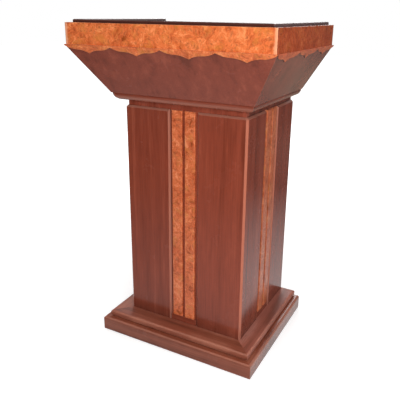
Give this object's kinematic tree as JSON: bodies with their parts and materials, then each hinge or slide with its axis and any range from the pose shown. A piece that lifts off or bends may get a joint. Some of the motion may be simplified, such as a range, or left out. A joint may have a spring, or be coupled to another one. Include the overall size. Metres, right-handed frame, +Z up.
{
  "type": "lectern",
  "caption": "Free-standing veneered lectern: stepped plinth, panelled column with a lockable rear door, flared head with burl bands and scalloped aprons, and a sloping desk.",
  "frame": {"origin": "on the floor, under the middle of the overall width and depth", "axes": "+Z up; -Y towards the audience, so the speaker stands at +Y; +X to the right as the audience sees it"},
  "size_m": [0.732, 0.579, 1.15],
  "materials": {
    "mahogany": "satin lacquered mahogany veneer",
    "burl": "gloss lacquered burl veneer",
    "rim_wood": "dark stained and lacquered hardwood",
    "desk_wood": "satin lacquered mahogany veneer, darker",
    "inner_wood": "plain lacquered plywood",
    "steel": "zinc plated, satin",
    "brass": "lacquered brass",
    "nickel": "nickel plated",
    "pad": "dense felted rubber",
    "catch_brown": "brown moulded plastic"
  },
  "bodies": {
    "lectern": {"plinth_rail_front": "mahogany", "plinth_rail_left": "mahogany", "plinth_rail_right": "mahogany", "plinth_rail_rear": "mahogany", "stage_board": "mahogany", "carcass_front": "mahogany", "carcass_left": "mahogany", "carcass_right": "mahogany", "carcass_bottom": "mahogany", "rear_header_rail": "mahogany", "panel_front_left": "mahogany", "panel_front_right": "mahogany", "panel_left_front": "mahogany", "panel_left_rear": "mahogany", "panel_right_front": "mahogany", "panel_right_rear": "mahogany", "strip_foot_blocks": "mahogany", "neck_moulding_front": "mahogany", "neck_moulding_left": "mahogany", "neck_moulding_right": "mahogany", "hopper_front": "mahogany", "hopper_left": "mahogany", "hopper_right": "mahogany", "strip_front_left": "burl", "strip_front_right": "burl", "strip_left_front": "burl", "strip_left_rear": "burl", "strip_right_front": "burl", "strip_right_rear": "burl", "band_front": "burl", "band_left": "burl", "band_right": "burl", "apron_front": "burl", "apron_left": "burl", "apron_right": "burl", "rim_front": "rim_wood", "rim_left": "rim_wood", "rim_right": "rim_wood", "book_stop": "rim_wood", "reading_desk": "desk_wood", "hopper_floor": "desk_wood", "inner_shelf": "inner_wood", "shelf_cleats": "inner_wood", "desk_cleats": "inner_wood", "plinth_corner_blocks": "inner_wood", "hinge_frame_screws": "steel", "lock_keeper": "steel", "hinge_frame_leaves": "brass", "hinge_pins": "brass", "catch_housing": "catch_brown", "base_pads": "pad"},
    "door_leaf": {"door": "mahogany", "hinge_door_leaves": "brass", "hinge_door_screws": "steel", "door_knob": "brass", "knob_screw": "steel", "lock_barrel": "nickel", "catch_plate": "steel"},
    "lock_core": {"lock_plug": "nickel", "lock_cam": "steel"}
  },
  "joints": [
    {"name": "door_hinge", "type": "hinge", "parent": "lectern", "child": "door_leaf", "pos_m": [0.202, 0.26692, 0.483], "axis": [0, 0, -1], "range_deg": [0, 170]},
    {"name": "lock_turn", "type": "hinge", "parent": "door_leaf", "child": "lock_core", "pos_m": [-0.173, 0.26352, 0.623], "axis": [0, -1, 0], "range_deg": [0, 90]}
  ]
}
